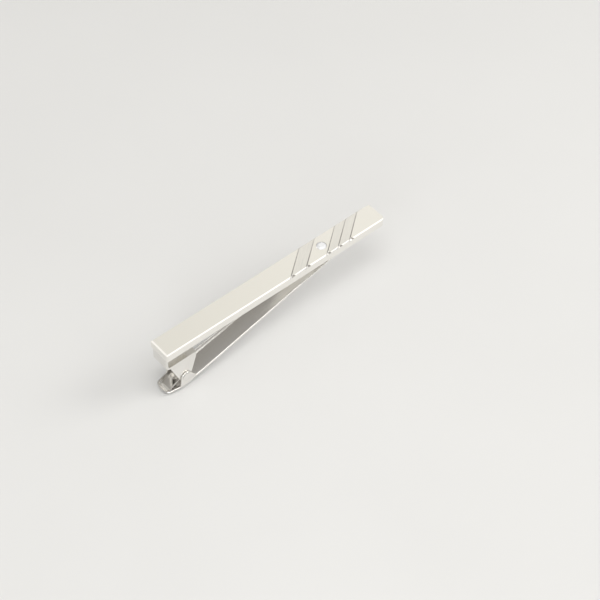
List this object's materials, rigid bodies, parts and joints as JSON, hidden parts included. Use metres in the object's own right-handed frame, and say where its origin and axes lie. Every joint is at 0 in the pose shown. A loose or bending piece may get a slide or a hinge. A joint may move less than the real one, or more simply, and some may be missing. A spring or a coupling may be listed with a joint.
{
  "type": "tie bar",
  "caption": "Slim polished tie bar with slanting engraved lines and a small crystal, and a sprung alligator jaw hinged behind it that grips a necktie.",
  "frame": {"origin": "centre of the bar's flat front face", "axes": "+X along the bar from the hinge end to the free end, +Y across the bar, +Z out of the front face"},
  "size_m": [0.0573, 0.0054, 0.0139],
  "materials": {
    "polished_plate": "mirror polished white plating, faint satin lines between the engraved cuts",
    "plated_sheet": "polished plating over pressed sheet, softly rounded edges",
    "spring_wire": "drawn spring wire, slightly dull",
    "crystal": "clear faceted crystal"
  },
  "bodies": {
    "bar": {"front_bar": "polished_plate", "crystal_stone": "crystal", "hinge_bracket": "plated_sheet", "hinge_pin": "plated_sheet", "torsion_spring": "spring_wire"},
    "jaw": {"jaw_lever": "plated_sheet"}
  },
  "joints": [
    {"name": "jaw_hinge", "type": "hinge", "parent": "bar", "child": "jaw", "pos_m": [-0.024, 0, -0.0102], "axis": [0, 1, 0], "range_deg": [0, 25], "stiffness_Nm_per_rad": 0.05, "springref_deg": -51.57, "deforming": ["torsion_spring"]}
  ]
}
